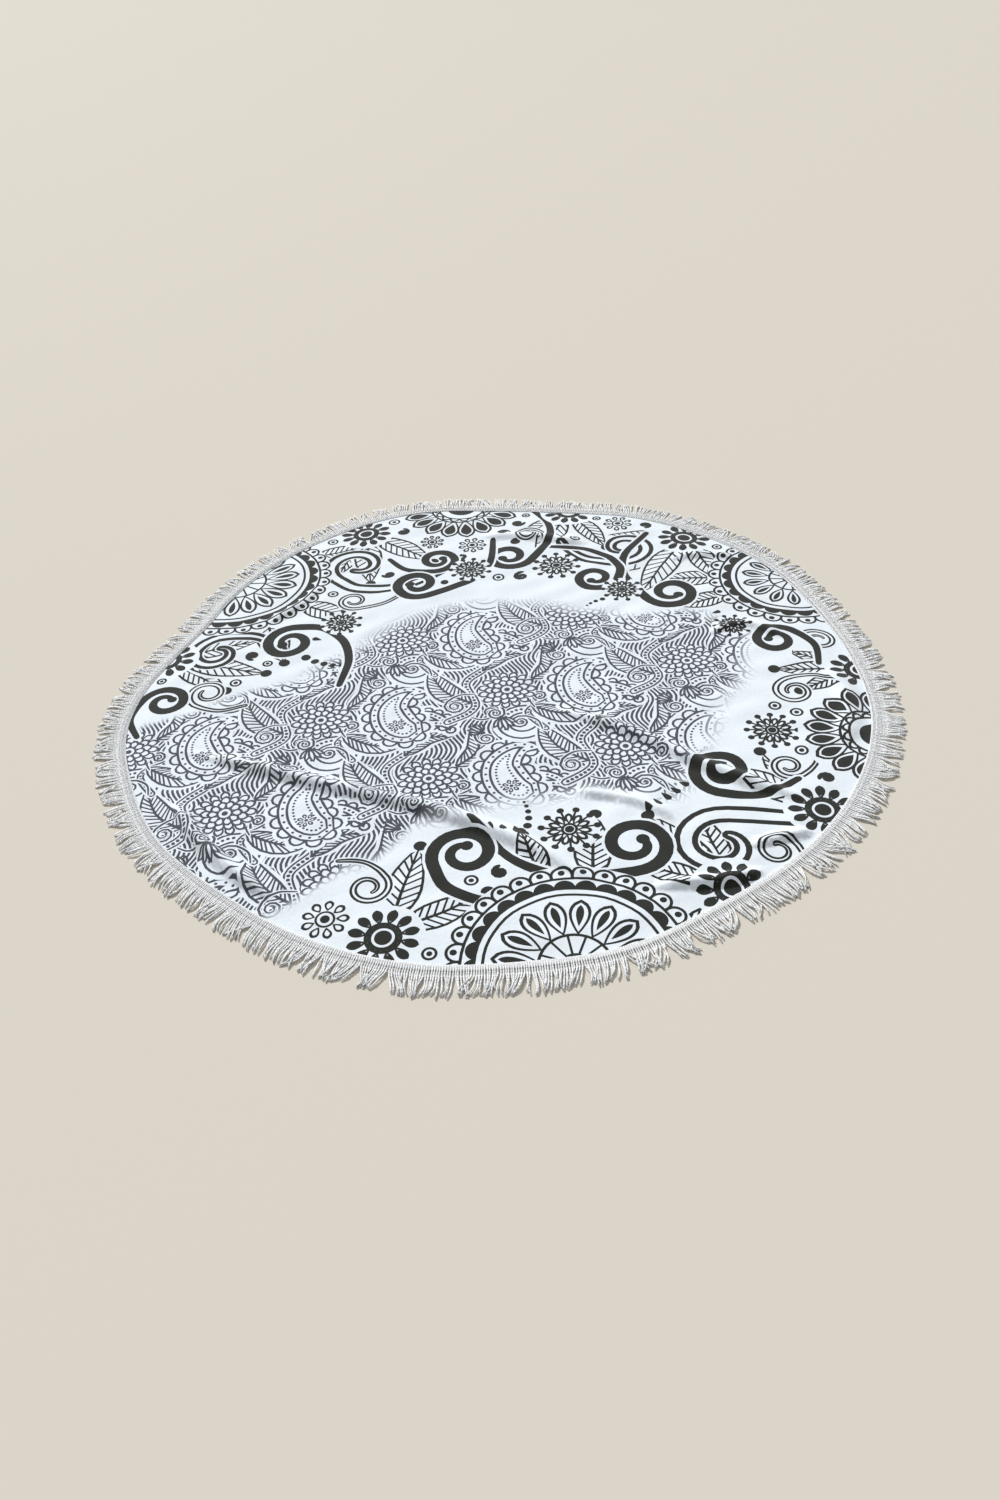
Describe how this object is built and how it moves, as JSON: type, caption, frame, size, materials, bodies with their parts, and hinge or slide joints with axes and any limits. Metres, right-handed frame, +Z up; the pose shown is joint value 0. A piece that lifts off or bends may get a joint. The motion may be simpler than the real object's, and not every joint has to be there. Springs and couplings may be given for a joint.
{
  "type": "round fringed beach towel",
  "caption": "Round cotton beach towel lying flat, printed on one side, with a woven header and a twisted strand fringe round its edge.",
  "frame": {"origin": "middle of the cloth's underside, on the surface it lies on", "axes": "+Z up from the surface to the printed side; +Y away from the viewer of the picture; +X to the viewer's right"},
  "size_m": [1.5108, 1.5085, 0.016],
  "materials": {
    "printed_cotton": "matt white cotton velour with a printed line pattern",
    "fringe_cotton": "matt white twisted cotton yarn"
  },
  "bodies": {
    "root": {"towel_cloth": "printed_cotton", "fringe_trim": "fringe_cotton"}
  },
  "joints": []
}
